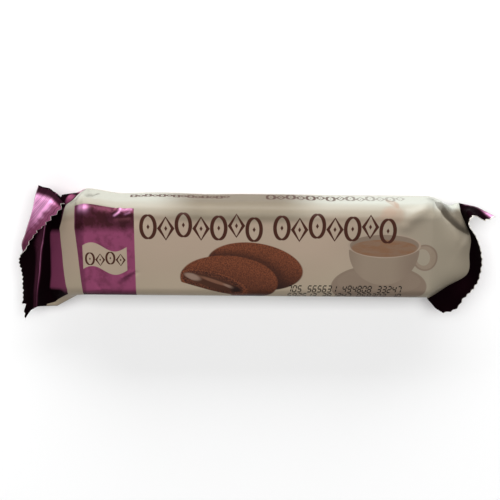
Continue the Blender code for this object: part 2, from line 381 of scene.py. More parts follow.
def slope(left, share, around):
    """Points between the box's end and the seal's root. share is 0 at the box and 1 at the root."""
    start = box(-BOX_END if left else BOX_END, around)
    end = seal(left, 0, around)
    bent = share * share * (1 + BEND) / (share + BEND)
    place = start + (end - start) * bent
    place[:, 0] = start[:, 0] + (end[:, 0] - start[:, 0]) * share
    return place if left else press_valley(place, around, 1 - ease(share, 0.5, 1))


def press_valley(place, around, amount):
    """Pushes the face in along the line between the valley's two ends, and the upper side where it begins."""
    away = np.abs(line_distance(place[:, 0], place[:, 1], VALLEY)[0])
    depth = VALLEY_DEPTH * amount * np.clip(1 - away / VALLEY_HALF_WIDTH, 0, 1) * (np.abs(around) <= QUARTER)
    place[:, 2] -= depth * ease(place[:, 2], MIDDLE, MIDDLE + 2 * VALLEY_DEPTH)
    notch = NOTCH_DEPTH * amount * np.clip(1 - np.abs(place[:, 0] - NOTCH_PLACE) / NOTCH_HALF_WIDTH, 0, 1)
    place[:, 1] -= notch * ease(place[:, 1], *NOTCH_SIDE)
    return place


def left_print(share, around):
    """The place along the print at the left end, where the folds pull the stripe's edge to and fro."""
    places, shares = np.array(STRIPE_EDGE).T
    return -BOX_END - SLOPE_PRINT * share * STRIPE_SHARE / np.interp(around / MM, places, shares)


def film_rings(around):
    """Points of the film from the left cut edge to the right one. Each ring has its place along the print,
    and its way: 0 on the box, 1 at a seal's root and one more for each row after it, negative on the left."""
    rings, along, way = [], [], []
    left_last, right_last = len(LEFT_ROWS) - 1, len(RIGHT_ROWS) - 1

    def keep(ring, place, passed=0.0):
        rings.append(ring)
        along.append(place + 0 * around)
        way.append(passed)

    def keep_seal(left, row, thickness=SEAL_THICKNESS):
        share = 1 + row * ROW_SHARE
        place = left_print(share, around) if left else BOX_END + SLOPE_PRINT * share
        keep(seal(left, row, around, thickness), place, -1 - row if left else 1 + row)

    keep_seal(True, left_last, 0)
    for row in np.linspace(left_last, 0, LEFT_SEAL_STEPS + 1)[:-1]:
        keep_seal(True, row)
    for share in np.linspace(1, 0, LEFT_SLOPE_STEPS + 1)[:-1]:
        keep(slope(True, share, around), left_print(share, around), -share)
    for start, end, steps in ((-BOX_END, LABEL_END, LABEL_STEPS), (LABEL_END, BOX_END, BOX_STEPS)):
        for x in np.linspace(start, end, steps + 1)[:-1]:
            keep(box(x, around), x)
    for share in np.linspace(0, 1, RIGHT_SLOPE_STEPS + 1)[:-1]:
        keep(slope(False, share, around), BOX_END + SLOPE_PRINT * share, share)
    for row in np.linspace(0, right_last, RIGHT_SEAL_STEPS + 1):
        keep_seal(False, row)
    keep_seal(False, right_last, 0)
    return np.array(rings), np.array(along), np.array(way)


def ring_normals(points):
    """Outward normals of the rings. The first and last columns lie on each other at the back's middle."""
    lengthwise = np.gradient(points, axis=0)
    ring = np.concatenate([points[:, -2:-1], points, points[:, 1:2]], axis=1)
    crosswise = ring[:, 2:] - ring[:, :-2]
    return unit(np.cross(lengthwise, crosswise))


def cut_distance(points):
    """The way along the film from each point to the nearer cut edge."""
    steps = np.linalg.norm(np.diff(points, axis=0), axis=2)
    from_left = np.concatenate([np.zeros((1, points.shape[1])), np.cumsum(steps, axis=0)])
    return np.minimum(from_left, from_left[-1] - from_left)


def make_film():
    """The closed film as one piece. The attribute film keeps each corner's place along and around the print
    and its way from the cut edge, ink how far the print is darkened by the seals' dark and by painted shade,
    how much painted glint it gets and how much painted shade or light the cream gets, and rib counts the
    ribs."""
    around = np.linspace(-HALF_ROUND, HALF_ROUND, COLUMNS + 1)
    points, along, way = film_rings(around)
    cut = cut_distance(points)
    turns = rib_turns(around, way)
    points = points + ring_normals(points) * relief(along, around, way)[:, :, None]
    points -= np.array([*MIDDLE_OF_ALL, 0])
    inks = end_inks(along, around, way, cut)
    cut = cut * np.where((way[:, None] > 1) & (across_of(around) > HOOK_START), HOOK_RIM, 1)
    stations = len(points) - 1

    bpy.ops.object.select_all(action="DESELECT")
    bpy.ops.mesh.primitive_grid_add(x_subdivisions=stations, y_subdivisions=COLUMNS, size=1)
    film = bpy.context.object
    film.name = "film"
    mesh = film.data
    grid = np.empty(len(mesh.vertices) * 3)
    mesh.vertices.foreach_get("co", grid)
    grid = grid.reshape(-1, 3) + 0.5
    station = np.rint(grid[:, 0] * stations).astype(int)
    column = np.rint(grid[:, 1] * COLUMNS).astype(int)
    mesh.vertices.foreach_set("co", points[station, column].ravel())
    corner = np.empty(len(mesh.loops), dtype=np.int32)
    mesh.loops.foreach_get("vertex_index", corner)
    station, column = station[corner], column[corner]
    places = np.stack([along[station, column], around[column], cut[station, column]], axis=1)
    for name, values in (("film", places), ("ink", inks[station, column])):
        mesh.attributes.new(name, "FLOAT_VECTOR", "CORNER").data.foreach_set("vector", values.ravel())
    mesh.attributes.new("rib", "FLOAT", "CORNER").data.foreach_set("value", turns[station, column])
    mesh.update()

    bpy.ops.object.mode_set(mode="EDIT")
    bpy.ops.mesh.select_all(action="SELECT")
    bpy.ops.mesh.remove_doubles(threshold=1e-6)
    bpy.ops.mesh.normals_make_consistent(inside=False)
    bpy.ops.object.mode_set(mode="OBJECT")
    bpy.ops.object.shade_smooth()
    return film


def lap_of(around):
    """1 on the seam that runs along the back and 0 beside it."""
    y = np.sign(around) * (HALF_ROUND - np.abs(around))
    on_back = np.abs(around) > QUARTER
    return on_back * (1 - ease(np.abs(y - LAP_OFFSET), 0.44 * LAP_WIDTH, 0.5 * LAP_WIDTH))


def rib_turns(around, way):
    """The distance from the straight cut line, before the teeth are cut, counted in the crimp's ribs."""
    turns = np.zeros((len(way), len(around)))
    across = across_of(around)
    for left in (True, False):
        at = np.flatnonzero(way <= -1) if left else np.flatnonzero(way >= 1)[::-1]
        line = np.array([seal_middle(left, abs(way[i]) - 1, across, False) for i in at])
        steps = np.linalg.norm(np.diff(line, axis=0), axis=2)
        turns[at] = np.concatenate([np.zeros((1, len(around))), np.cumsum(steps, axis=0)]) / RIB_PITCH
    return turns


def line_distance(along, v, places):
    """The distance to the line through the places, positive to the left of its run, and the share of it
    passed."""
    places = np.array(places) * MM
    runs = np.diff(places, axis=0)
    lengths = np.linalg.norm(runs, axis=1)
    nearest, passed = np.full(v.shape, np.inf), np.zeros(v.shape)
    for (a0, v0), (run_a, run_v), length, before in zip(places, runs, lengths, np.cumsum(lengths) - lengths):
        t = np.clip(((along - a0) * run_a + (v - v0) * run_v) / length**2, 0, 1)
        off_a, off_v = along - a0 - t * run_a, v - v0 - t * run_v
        away = np.hypot(off_a, off_v)
        nearer = away < np.abs(nearest)
        nearest = np.where(nearer, np.where(run_a * off_v < run_v * off_a, -away, away), nearest)
        passed = np.where(nearer, (before + t * length) / lengths.sum(), passed)
    return nearest, passed


def on_lines(along, v, lines):
    """The strengths of these lines, each fading to both sides over its half width."""
    total = np.zeros(v.shape)
    for places, width, strength in lines:
        total += strength * np.exp(-((line_distance(along, v, places)[0] / (width * MM)) ** 2))
    return total


def straight_place(along, way):
    """The place along the film, where the left slope counts as evenly as the right one."""
    return np.where((way < 0)[:, None], SLOPE_PRINT * way[:, None] - BOX_END, along)


def relief(along, around, way):
    """How far the film stands out: the creases, the seam on the back and the soft unevenness of pulled
    film."""
    along = straight_place(along, way)
    v = around + 0 * along
    height = on_lines(along, v, CREASES) * MM
    beyond, passed = line_distance(along, v, FOLD)
    beyond = beyond - FOLD_FLANK
    flank = np.tanh(beyond / FOLD_FLANK) * np.exp(-np.abs(beyond) / FOLD_REACH)
    height += ease(passed, 0, FOLD_FADE) * (1 - ease(passed, 1 - FOLD_FADE, 1)) * FOLD_RISE / 2 * flank
    face = 1 - ease(np.abs(v), 18 * MM, 26 * MM)
    crown = ease(v, 11 * MM, 19 * MM) * window(along, (-90, -82), (-58, -40))
    waves = (
        np.sin(along / (9.1 * MM) + 1.3 * np.sin(v / (7.3 * MM)))
        + 0.7 * np.sin(along / (5.3 * MM) - v / (6.1 * MM) + 2)
        + 0.8 * np.sin(v / (4.3 * MM) + 1.9 * np.sin(along / (11 * MM)))
    )
    height += face * (WAVE_RISE * waves - CROWN_DEPTH * crown)
    height += LAP_THICKNESS * lap_of(v)
    swells = np.sin(along / (8.5 * MM) + 0.8) * (1 - ease(along, -30 * MM, 0))
    height += SIDE_SWELL * window(v, (24, 28), (38, 42)) * swells
    height += SIDE_LIFT * window(v, (24, 30), (36, 42)) * (1 - ease(along, 10 * MM, 40 * MM))
    return height * (1 - ease(np.abs(way), 0.92, 1))[:, None]


def cream_shades(along, v):
    """How much painted shade the cream gets: 0 to 1 where folds keep light off it, and below 0, as painted
    light, where they lift it to the light."""
    shaded = on_lines(along, v, SHADES)
    beyond, passed = line_distance(along, v, FOLD)
    beside = ease(passed, 0, 0.06) * (1 - ease(passed, 0.94, 1))
    shadow = ease(beyond, -0.2 * MM, 0.3 * MM) * (1 - 0.3 * ease(beyond, 1.8 * MM, 4.5 * MM))
    shadow = shadow * np.interp(passed, *FOLD_SHADE) * (1 - ease(beyond, 8 * MM, 11 * MM))
    glow = 0.3 * (beyond < 0) * (1 - passed) * np.exp(beyond / (2.5 * MM))
    return shaded + beside * (shadow - glow)


def end_inks(along, around, way, cut):
    """For each point, how much the print is darkened, by the seals' dark and by painted shade, how much
    painted glint it gets, and how much painted shade or light the cream gets."""
    along = straight_place(along, way)
    v, across = around + 0 * along, across_of(around) + 0 * along
    front = 1.0 * (np.abs(v) <= QUARTER)
    left_row, right_row = -way[:, None] - 1 + 0 * along, way[:, None] - 1 + 0 * along
    left, right = ease(left_row, *LEFT_DARK), ease(right_row, *RIGHT_DARK)
    # Painted shade on the left slope's face
    on_slope = ease(left_row, -1, -0.95) * (left_row < 0) * front

    # A painted highlight streak along the left seal's ridge, in a band of weaker painted light
    ridge = np.interp(across, *STREAK_ROW)
    streak = np.exp(-(((left_row - ridge) / STREAK_WIDTH) ** 2)) * np.interp(across, *STREAK_FADE)
    band_start, band_end = BAND_AFTER
    band = ease(left_row, ridge - BAND_BEFORE, ridge)
    band = band * (1 - ease(left_row, ridge + band_start, ridge + band_end))
    dark = left * front * np.clip(1 - 0.2 * band - 0.6 * streak, 0, 1) + right * front + 0.12 * on_slope
    # Painted shade along the lower edge of the label and of the ends' purple
    dark += 0.8 * (1 - ease(v, -23.5 * MM, -18.5 * MM)) * (np.abs(way) < 1)[:, None] * front
    # Painted shadow under the flap
    shadow = ease(left_row, -0.4, -0.25) * (left_row < 0.05) * front
    dark += shadow * (ease(across, 0.27, 0.42) + 0.8 * (1 - ease(across, -0.7, -0.58)))
    # Painted shade in the purple's folds, and painted glints
    dark += on_lines(along, v, DARK_FOLDS)
    pink = 0.3 * left * front * streak + on_lines(along, v, GLINTS)

    # The flap: a dark strip along its upper side, painted shade on its lower part and a painted highlight
    # above it
    flap = left * (1 - front) * ease(left_row, 2.2, 2.8)
    strip = ease(across, *FLAP_STRIP)
    dark += flap * strip * 0.92 + flap * (1 - strip) * 0.45 * (1 - ease(across, 0.1, 0.5))
    glow = np.interp(across, *FLAP_GLOW) * (0.1 + 0.9 * ease(cut, 3 * MM, 6 * MM))
    pink += flap * (1 - strip) * glow

    # Painted highlights on the hook's tip and its upper rim
    hook_tip = ease(across, 0.9, 0.96) * right * ease(right_row, 1.2, 1.8)
    hook_rim = ease(across, 0.94, 0.975) * right * ease(right_row, 0.1, 0.4)
    dark -= 0.5 * hook_tip + 0.6 * hook_rim
    pink += 0.4 * hook_tip + 0.2 * hook_rim
    inks = np.stack([dark, pink, cream_shades(along, v)], axis=2)
    return np.clip(inks, (0, 0, -1), 1)


class Shade:
    """Adds nodes to a tree and wires them in one call."""

    def __init__(self, tree):
        self.tree = tree

    def add(self, kind, **settings):
        node = self.tree.nodes.new(kind)
        for name, value in settings.items():
            setattr(node, name, value)
        return node

    def put(self, socket, value):
        if isinstance(value, bpy.types.NodeSocket):
            self.tree.links.new(value, socket)
        else:
            socket.default_value = value

    def math(self, operation, *values, clamp=False):
        node = self.add("ShaderNodeMath", operation=operation, use_clamp=clamp)
        for socket, value in zip(node.inputs, values):
            self.put(socket, value)
        return node.outputs[0]

    def times(self, product, *values, clamp=False):
        for value in values:
            product = self.math("MULTIPLY", product, value, clamp=clamp)
        return product

    def plus(self, first, second, clamp=False):
        return self.math("ADD", first, second, clamp=clamp)

    def minus(self, first, second):
        return self.math("SUBTRACT", first, second)

    def over(self, first, second):
        return self.math("DIVIDE", first, second)

    def scaled(self, value, factor, shift, clamp=False):
        """value times factor, plus shift."""
        return self.math("MULTIPLY_ADD", value, factor, shift, clamp=clamp)

    def size(self, value):
        """The value without its sign."""
        return self.math("ABSOLUTE", value)

    def rest(self, mask):
        """1 where the mask is 0, and 0 where it is 1."""
        return self.minus(1.0, mask)

    def distance(self, x, y):
        return self.math("SQRT", self.scaled(x, x, self.times(y, y)))

    def step(self, value, start, end):
        """0 at start and 1 at end."""
        node = self.add("ShaderNodeMapRange", interpolation_type="SMOOTHSTEP")
        for name, given in (("Value", value), ("From Min", start), ("From Max", end)):
            self.put(node.inputs[name], given)
        return node.outputs[0]

    def crisp(self, value, place):
        """0 before the place and 1 after it, as sharp as a printed edge."""
        return self.step(value, place - PRINT_EDGE * MM, place + PRINT_EDGE * MM)

    def between(self, value, low, high, soft):
        """1 from low to high and 0 outside, with both edges this soft."""
        fall = self.step(value, high - soft, high + soft)
        return self.times(self.step(value, low - soft, low + soft), self.rest(fall))

    def joined(self, x, y):
        """The vector of these two."""
        node = self.add("ShaderNodeCombineXYZ")
        self.put(node.inputs[0], x)
        self.put(node.inputs[1], y)
        return node.outputs[0]

    def parted(self, vector):
        """The vector's three parts."""
        node = self.add("ShaderNodeSeparateXYZ")
        self.put(node.inputs[0], vector)
        return node.outputs

    def mix(self, amount, first, second):
        node = self.add("ShaderNodeMix", data_type="RGBA")
        self.put(node.inputs["Factor"], amount)
        self.put(node.inputs[6], first)
        self.put(node.inputs[7], second)
        return node.outputs[2]

    def noise(self, vector, scale, detail=2.0, rough=0.5):
        node = self.add("ShaderNodeTexNoise")
        self.put(node.inputs["Vector"], vector)
        for name, value in (("Scale", scale), ("Detail", detail), ("Roughness", rough)):
            node.inputs[name].default_value = value
        return node.outputs["Fac"]


# How strongly the lights meet the face, so that colours can be given as they are seen there
FACE_LIGHT = 1.1


def seen(red, green, blue):
    """The surface colour that shows as this screen colour on the lit face."""
    values = [((c / 255 + 0.055) / 1.055) ** 2.4 / FACE_LIGHT for c in (red, green, blue)]
    return (*values, 1)


CREAM = seen(159, 140, 123)
# Random mottling of the cream, and painted shade that darkens the face towards the bottom
CREAM_LOW = seen(150, 139, 119)
# Painted shade, in a cooler tone, over the face's right end
CREAM_COOL_SHADE = seen(137, 129, 113)
# Painted shade on the rounded edge into the upper side
CREAM_EDGE_SHADE = seen(145, 138, 124)
# Painted sheen on the upper side's ends, brighter at the right end
CREAM_SHEEN = seen(161, 161, 151)
CREAM_SHEEN_RIGHT = seen(170, 172, 163)
# Painted shade in the middle of the upper side, and on the rounded edge into it
CREAM_SHADE = seen(109, 100, 86)
CREAM_DIM = seen(113, 103, 87)
# Painted shade and painted light where folds turn the cream from or to the light
CREAM_CREASE_SHADE = seen(52, 44, 36)
CREAM_CREASE_LIGHT = seen(210, 210, 200)
PURPLE = (0.25, 0.053, 0.122, 1)
# The purple's random blotches with painted shade, the seals' dark with painted shade, and painted glints
PURPLE_DEEP = (0.045, 0.008, 0.013, 1)
PURPLE_DARK = (0.006, 0.0015, 0.003, 1)
PINK_GLINT = (0.95, 0.42, 0.75, 1)
SILVER = (0.70, 0.67, 0.62, 1)
BROWN = seen(58, 25, 12)
INK = seen(16, 10, 7)
COOKIE = seen(92, 50, 32)
COOKIE_LIGHT = seen(113, 60, 36)
COOKIE_DARK = seen(30, 10, 4)
FILLING = seen(62, 33, 20)
FILLING_LIGHT = seen(134, 110, 96)
FILLING_PALE = seen(116, 79, 61)
CUP = seen(131, 116, 100)
CUP_SHADE = seen(118, 102, 88)
CUP_LIGHT = seen(149, 133, 117)
COFFEE = seen(118, 86, 63)
BLUSH = seen(148, 122, 104)

# The ovals of the printed pictures: middle, length and height in millimetres, turn in degrees
BACK_COOKIE = ((-1, -6.4), (46, 24), -9)
FRONT_COOKIE = ((-13.5, -13.6), (46.8, 25.4), -5)
CRUST = ((-21.3, -15.6), (35.5, 13), -16)
CORE = ((-21.5, -14.8), (29, 5.4), -18)
SAUCER = ((58.5, -16.5), (46, 23))
SAUCER_WELL = ((58.5, -13.8), (40, 14))
HANDLE = ((79.8, -1.2), (12, 13.6), 15)
HANDLE_HOLE = ((78.9, -1), (6.6, 8.8), 15)
HANDLE_FACE = ((79.8, -1.2), (10.4, 12), 15)
CUP_BODY = ((60.2, 2.6), (33.5, 36))
CUP_RIM = ((60.2, 4.9), (34.6, 12.4))
CUP_MOUTH = ((60.2, 4.9), (32.8, 11.2))
COFFEE_TOP = ((60.2, 3.6), (31.2, 8.8))

# Lights and darks of the filling, and the blush of steam above the cup: such an oval, and its strength
CORE_SPOTS = (
    (((-31.3, -11.9), (8, 3.2), -18), FILLING_LIGHT, 0.9),
    (((-20.5, -14.2), (15, 1.7), -20), FILLING_PALE, 0.8),
    (((-13.5, -16.9), (6, 1.4), -24), FILLING_LIGHT, 0.6),
    (((-8.5, -20), (9, 5), -35), COOKIE_DARK, 1),
)
STEAM = (
    (((63.3, 20.3), (11, 9.4), 0), 0.4),
    (((56.8, 18.2), (7, 2.6), 35), 0.3),
    (((63.5, 28.5), (3.6, 10), 28), 0.45),
    (((65.5, 27), (2.2, 7), 8), 0.4),
    (((62.2, 21.2), (5.6, 4.6), 0), 0.35),
)

# The front cookie's cut: its lower side rises by this much to the left, and ends before this place
CUT_RISE = 0.3
CUT_LEVEL = -25.7 * MM
CUT_SOFT = 0.2 * MM
CUT_END = (-13.5 * MM, -11.0 * MM)


def group_of(name, inputs, outputs):
    """A shader group with these sockets. Gives the tree, and its inputs and outputs by name."""
    tree = bpy.data.node_groups.new(name, "ShaderNodeTree")
    for label, value in inputs.items():
        socket = tree.interface.new_socket(label, in_out="INPUT", socket_type="NodeSocketFloat")
        socket.default_value = value
    for label in outputs:
        tree.interface.new_socket(label, in_out="OUTPUT", socket_type="NodeSocketFloat")
    return tree, tree.nodes.new("NodeGroupInput").outputs, tree.nodes.new("NodeGroupOutput").inputs


def oval_group():
    """Turned oval: Reach is 0 at its middle and 1 at its edge, X and Y run from -1 to 1 over it."""
    tree, given, out = group_of(
        "oval",
        {"Along": 0, "Around": 0, "Middle Along": 0, "Middle Around": 0, "Length": 1, "Height": 1, "Turn": 0},
        ("Reach", "X", "Y"),
    )
    pen = Shade(tree)
    off_along = pen.minus(given["Along"], given["Middle Along"])
    off_around = pen.minus(given["Around"], given["Middle Around"])
    turned = pen.add("ShaderNodeVectorRotate", rotation_type="Z_AXIS", invert=True)
    pen.put(turned.inputs["Vector"], pen.joined(off_along, off_around))
    pen.put(turned.inputs["Angle"], given["Turn"])
    parts = pen.parted(turned.outputs[0])
    x = pen.over(parts[0], pen.times(given["Length"], 0.5))
    y = pen.over(parts[1], pen.times(given["Height"], 0.5))
    for name, value in (("X", x), ("Y", y), ("Reach", pen.distance(x, y))):
        pen.put(out[name], value)
    return tree


# What a row of marks or numbers is given, besides its stroke or seed
ROW_INPUTS = {"Along": 0, "Around": 0, "Start": 0, "Pitch": 1, "Count": 1, "Middle": 0, "Height": 1}

# A frieze's marks: the size of a cell and the mark's reach in it, how the marks move up and down in turn,
# the stroke at a mark's middle and its gain to the side, and the edge of the seed in its middle
CELL_SIZE = 2.3
MARK_REACH = 0.86
STAGGER = 0.16
STAGGER_STEP = 2.3
STROKE_THIN = 0.25
STROKE_GAIN = 0.85
SEED_EDGE = (0.16, 0.24)

# The bars of a plain number, on a grid five wide and seven high: middle and reach across, middle and reach
# upward, and the numbers that use the bar
BARS = (
    (-0.5, 1.65, 3, 0.55, "02356789"),
    (-0.5, 1.65, 0, 0.55, "2345689"),
    (-0.5, 1.65, -3, 0.55, "0235689"),
    (-2.5, 0.65, 1.5, 1.1, "045689"),
    (1.5, 0.65, 1.5, 1.1, "01234789"),
    (-2.5, 0.65, -1.5, 1.1, "0268"),
    (1.5, 0.65, -1.5, 1.1, "013456789"),
)
GRID = (6, 7)
NUMBER_LEAN = 0.2

# After this many numbers one place stays empty
NUMBERS_IN_A_ROW = 6


def row_parts(pen, given, lean=0.0):
    """The row's cell at this place, the place in it across and upward as shares of it, and the row's mask."""
    above = pen.minus(given["Around"], given["Middle"])
    leaned = pen.scaled(above, -lean, given["Along"])
    turn = pen.over(pen.minus(leaned, given["Start"]), given["Pitch"])
    cell = pen.math("FLOOR", turn)
    before_end = pen.math("LESS_THAN", cell, pen.minus(given["Count"], 0.5))
    mask = pen.times(pen.math("GREATER_THAN", cell, -0.5), before_end)
    return cell, pen.minus(pen.math("FRACT", turn), 0.5), pen.over(above, given["Height"]), mask


def frieze_group():
    """A row of rings and lozenges in turn, drawn with thick and thin strokes."""
    tree, given, out = group_of("frieze", {**ROW_INPUTS, "Stroke": 1}, ("Mask",))
    pen = Shade(tree)
    cell, x, y, in_row = row_parts(pen, given)
    x = pen.times(x, CELL_SIZE)
    stagger = pen.times(pen.math("SINE", pen.times(cell, STAGGER_STEP)), STAGGER)
    y = pen.scaled(y, CELL_SIZE, stagger)
    wide = pen.size(x)
    ring, lozenge = pen.distance(x, y), pen.plus(wide, pen.size(y))
    odd = pen.math("GREATER_THAN", pen.math("MODULO", cell, 2.0), 0.5)
    reach = pen.scaled(pen.minus(lozenge, ring), odd, ring)
    stroke = pen.times(given["Stroke"], pen.scaled(wide, STROKE_GAIN, STROKE_THIN))
    past = pen.minus(pen.size(pen.minus(reach, MARK_REACH)), pen.over(stroke, given["Pitch"]))
    line = pen.rest(pen.step(past, -0.02, 0.03))
    mark = pen.math("MAXIMUM", line, pen.rest(pen.step(lozenge, *SEED_EDGE)))
    pen.put(out["Mask"], pen.times(mark, in_row))
    return tree


def numbers_group():
    """A row of plain leaning numbers, drawn at random, with a space here and there."""
    tree, given, out = group_of("numbers", {**ROW_INPUTS, "Seed": 0}, ("Mask",))
    pen = Shade(tree)
    cell, x, y, in_row = row_parts(pen, given, NUMBER_LEAN)
    x, y = pen.times(x, GRID[0]), pen.times(y, GRID[1])
    place = pen.plus(cell, given["Seed"])
    chance = pen.add("ShaderNodeTexWhiteNoise", noise_dimensions="1D")
    pen.put(chance.inputs["W"], place)
    power = pen.math("POWER", 2.0, pen.math("FLOOR", pen.times(chance.outputs["Value"], 9.99)))
    lit = 0.0
    for middle_x, reach_x, middle_y, reach_y, numbers in BARS:
        known = float(sum(2 ** int(number) for number in numbers))
        used = pen.math("MODULO", pen.math("FLOOR", pen.over(known, power)), 2.0)
        here_x = pen.math("COMPARE", x, middle_x, reach_x)
        here_y = pen.math("COMPARE", y, middle_y, reach_y)
        lit = pen.math("MAXIMUM", lit, pen.times(used, here_x, here_y))
    gap = pen.math("MODULO", place, NUMBERS_IN_A_ROW + 1)
    filled = pen.math("LESS_THAN", gap, NUMBERS_IN_A_ROW - 0.5)
    pen.put(out["Mask"], pen.times(lit, filled, in_row))
    return tree


class Print(Shade):
    """Lays printed shapes on the film, each over those before it."""

    def __init__(self, tree):
        super().__init__(tree)
        self.place = self.kept("film").outputs["Vector"]
        self.along, self.around, self.cut = self.parted(self.place)
        self.dark, self.pink, self.shaded = self.parted(self.kept("ink").outputs["Vector"])
        self.ribs_passed = self.kept("rib").outputs["Fac"]
        self.cloud = self.noise(self.place, 55, 3)
        self.groups = {"oval": oval_group(), "frieze": frieze_group(), "numbers": numbers_group()}
        self.colour = CREAM

    def kept(self, name):
        """The node of what the mesh keeps under this name."""
        return self.add("ShaderNodeAttribute", attribute_name=name)

    def group(self, kind, **values):
        node = self.add("ShaderNodeGroup", node_tree=self.groups[kind])
        self.put(node.inputs["Along"], self.along)
        self.put(node.inputs["Around"], self.around)
        for name, value in values.items():
            node.inputs[name.replace("_", " ")].default_value = value
        return node.outputs

    def oval(self, middle, size, turn=0.0):
        """The oval's sockets. middle and size are in millimetres, turn in degrees."""
        return self.group(
            "oval", Middle_Along=middle[0] * MM, Middle_Around=middle[1] * MM,
            Length=size[0] * MM, Height=size[1] * MM, Turn=math.radians(turn),
        )

    def inside(self, oval, soft=0.03):
        return self.rest(self.step(oval["Reach"], 1 - soft, 1 + soft))

    def row(self, kind, start, pitch, count, middle, height, **more):
        """The mask of a row of marks or numbers. Lengths are in millimetres."""
        lengths = {"Start": start, "Pitch": pitch, "Middle": middle, "Height": height}
        more.update((name, value * MM) for name, value in lengths.items())
        return self.group(kind, Count=count, **more)["Mask"]

    def marks(self, places, stroke):
        """The mask of a row of rings and lozenges."""
        return self.row("frieze", *places, Stroke=stroke * MM)

    def ramp(self, value, start, end):
        """0 at start and 1 at end, in millimetres."""
        return self.step(value, start * MM, end * MM)

    def strip(self, value, low, high, soft):
        """1 from low to high and 0 outside, with both edges this soft, in millimetres."""
        return self.between(value, low * MM, high * MM, soft * MM)

    def lay(self, mask, colour):
        self.colour = self.mix(mask, self.colour, colour)


def print_cookies(pen):
    """Two plain oval cookies, the front one cut open to show its filling."""
    grain = pen.noise(pen.place, 1500, 3, 0.6)
    crumb = pen.scaled(grain, 4.5, -1.75, clamp=True)
    back, front = pen.oval(*BACK_COOKIE), pen.oval(*FRONT_COOKIE)
    above = pen.scaled(pen.along, CUT_RISE, pen.around)
    above = pen.step(above, CUT_LEVEL - CUT_SOFT, CUT_LEVEL + CUT_SOFT)
    above = pen.math("MAXIMUM", above, pen.step(pen.along, *CUT_END))
    back_mask = pen.inside(back, 0.02)
    front_mask = pen.times(pen.inside(front, 0.02), above)

    def lay_cookie(oval, mask):
        lit = pen.scaled(oval["Y"], 0.5, 0.64)
        lit = pen.scaled(oval["X"], 0.1, lit)
        rim = pen.step(oval["Reach"], 0.55, 0.95)
        lit = pen.scaled(pen.times(rim, oval["Y"]), 0.35, lit, clamp=True)
        body = pen.mix(lit, COOKIE_DARK, COOKIE_LIGHT)
        pen.lay(mask, pen.mix(pen.times(crumb, 0.6), body, COOKIE_DARK))

    lay_cookie(back, back_mask)
    contact = pen.rest(pen.step(front["Reach"], 1.0, 1.35))
    pen.lay(pen.times(contact, back_mask, 0.6), COOKIE_DARK)
    lay_cookie(front, front_mask)
    crust = pen.oval(*CRUST)
    crust_mask = pen.times(pen.inside(crust, 0.04), front_mask)
    pen.lay(crust_mask, pen.mix(crumb, COOKIE, COOKIE_DARK))
    edge = pen.times(pen.between(crust["Reach"], 0.86, 0.97, 0.05), crust_mask)
    pen.lay(pen.times(edge, pen.rest(pen.times(crumb, 0.8))), COOKIE_LIGHT)
    core_mask = pen.times(pen.inside(pen.oval(*CORE), 0.08), front_mask)
    pen.lay(core_mask, FILLING)
    for oval, colour, strength in CORE_SPOTS:
        spot = pen.inside(pen.oval(*oval), 0.4)
        pen.lay(pen.times(spot, core_mask, strength), colour)


def print_cup(pen):
    """A pale cup of coffee on its saucer, and a soft curl of steam above it."""
    pen.lay(pen.inside(pen.oval(*SAUCER), 0.015), CUP_SHADE)
    pen.lay(pen.inside(pen.oval(*SAUCER_WELL), 0.02), pen.mix(0.25, CUP_SHADE, CUP))
    hole = pen.inside(pen.oval(*HANDLE_HOLE), 0.06)
    handle = pen.times(pen.inside(pen.oval(*HANDLE)), pen.rest(hole))
    pen.lay(handle, CUP_SHADE)
    pen.lay(pen.times(handle, pen.inside(pen.oval(*HANDLE_FACE))), CUP)
    body = pen.oval(*CUP_BODY)
    below = pen.rest(pen.step(body["Y"], -0.02, 0.02))
    turned_away = pen.step(pen.size(pen.plus(body["X"], 0.15)), 0.3, 1.05)
    pen.lay(pen.times(pen.inside(body, 0.012), below), pen.mix(turned_away, CUP, CUP_SHADE))
    pen.lay(pen.inside(pen.oval(*CUP_RIM), 0.02), CUP_LIGHT)
    pen.lay(pen.inside(pen.oval(*CUP_MOUTH), 0.02), CUP_SHADE)
    stretched = pen.joined(pen.times(pen.along, 0.3), pen.around)
    ripple = pen.step(pen.noise(stretched, 420, 2, 0.6), 0.35, 0.65)
    surface = pen.mix(pen.times(ripple, 0.4), COFFEE, CUP_SHADE)
    pen.lay(pen.inside(pen.oval(*COFFEE_TOP), 0.04), surface)
    for oval, strength in STEAM:
        pen.lay(pen.times(pen.inside(pen.oval(*oval), 0.2), strength), BLUSH)


# Rows of rings and lozenges: start, pitch, count, middle, height and stroke
TITLES = ((-56, 8.35, 7, 13.4, 15.2, 1.9), (7.2, 8.35, 7, 13.4, 15.2, 1.9))
SMALL_ROWS = (
    (3.8, 4.75, 14, 33.4, 7.6, 1.5), (-61, 3.4, 14, 33.6, 3.8, 1.7),
    (-66, 4.75, 14, -33, 7.6, 1.5), (12, 3.4, 14, -33, 3.8, 1.7),
)
BADGE_ROW = (-82.4, 4.9, 4, -3.2, 8.0, 1.1)

# Rows of numbers: start, pitch, count, middle, height and seed
NUMBER_ROWS = ((14.6, 2.4, 23, -17.9, 3.9, 3), (14.6, 2.4, 23, -22.2, 3.9, 42))

# The two columns of ruled lines on the back, the stretch around the film that they cover and how soft their
# edges are, all in millimetres
RULE_COLUMNS = ((-70, -12), (-4, 62))
RULES_AROUND = (41.5, 54.0)
CRISP = 0.1

# The edge of a printed purple field, in millimetres
PRINT_EDGE = 0.12

# The waved badge on the label: its ends and its lower and upper side, both in millimetres, and its wave
BADGE_ALONG = (-83.6, -62.2)
BADGE_AROUND = (-9.1, 3)
WAVE_START = 79 * MM
WAVE_LENGTH = 22 * MM
WAVE_HEIGHT = -2.2 * MM

# Where the painted shade of the rounded edge begins as the face turns into the upper side, and how much lower
# along the pack's middle
UPPER_TURN = 19.4 * MM
UPPER_TURN_DROP = -2.8 * MM
UPPER_TURN_SOFT = 2.6 * MM


